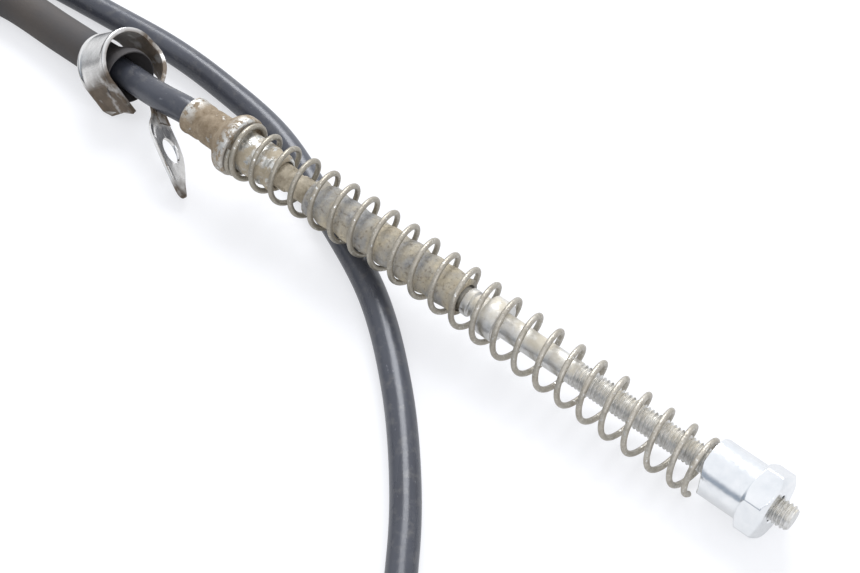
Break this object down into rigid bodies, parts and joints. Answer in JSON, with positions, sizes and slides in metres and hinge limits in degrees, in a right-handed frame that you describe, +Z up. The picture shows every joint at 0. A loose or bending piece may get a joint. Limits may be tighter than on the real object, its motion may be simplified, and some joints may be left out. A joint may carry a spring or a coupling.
{
  "type": "rear drum brake cable",
  "caption": "Sheathed brake cable with a sprung, threaded pull rod and adjuster nut at the wheel end, a strap clip, and a barrel nipple at the lever end.",
  "frame": {"origin": "bottom centre of the wheel-end fittings as they lie on a table", "axes": "+X along the pull rod towards its tip, +Z up, +Y to the left of the rod"},
  "size_m": [0.3009, 0.1619, 0.024],
  "materials": {
    "ferrule_steel": "crimped zinc-plated steel under brown road dust",
    "guide_steel": "zinc-plated steel tube, dusty",
    "liner_plastic": "dirty nylon liner tube",
    "boot_rubber": "folded rubber boot under brown dust",
    "spring_steel": "dull grimy spring steel wire",
    "wire_steel": "stranded galvanised wire",
    "rod_zinc": "zinc-plated steel with light dust",
    "nut_zinc": "bright zinc plating",
    "sheath_pvc": "satin black PVC sheath",
    "sleeve_rubber": "thick matte rubber sleeve, dusty",
    "clip_nickel": "bright plated strip steel with brown dirt",
    "tie_plastic": "black nylon band",
    "lever_ferrule_zinc": "crimped zinc-plated cap",
    "nipple_zinc": "cast zinc alloy"
  },
  "bodies": {
    "casing": {"ferrule": "ferrule_steel", "guide_tube": "guide_steel", "guide_liner": "liner_plastic", "dust_boot": "boot_rubber", "return_spring": "spring_steel", "sheath_wheel_end": "sheath_pvc", "sheath_lever_end": "sheath_pvc", "sheath_coil": "sheath_pvc", "protective_sleeve": "sleeve_rubber", "cable_clip": "clip_nickel", "coil_tie_1": "tie_plastic", "coil_tie_2": "tie_plastic", "lever_ferrule": "lever_ferrule_zinc"},
    "rod": {"pull_rod": "rod_zinc", "inner_wire": "wire_steel"},
    "nut": {"adjuster_nut": "nut_zinc"},
    "lever_end": {"lever_wire": "wire_steel", "barrel_nipple": "nipple_zinc"}
  },
  "joints": [
    {"name": "rod_pull", "type": "slide", "parent": "casing", "child": "rod", "axis": [-0.9987, 0, 0.0506], "range_m": [0, 0.022], "stiffness_N_per_m": 600, "deforming": ["return_spring", "dust_boot"]},
    {"name": "nut_turn", "type": "hinge", "parent": "rod", "child": "nut", "pos_m": [0.07565, 0, 0.00864], "axis": [0.9987, 0, -0.0506], "continuous": true},
    {"name": "lever_pull", "type": "slide", "parent": "casing", "child": "lever_end", "axis": [0, -1, 0], "range_m": [0, 0.022]}
  ],
  "couplings": [
    {"joint": "lever_pull", "follows": "rod_pull", "ratio": 1}
  ]
}
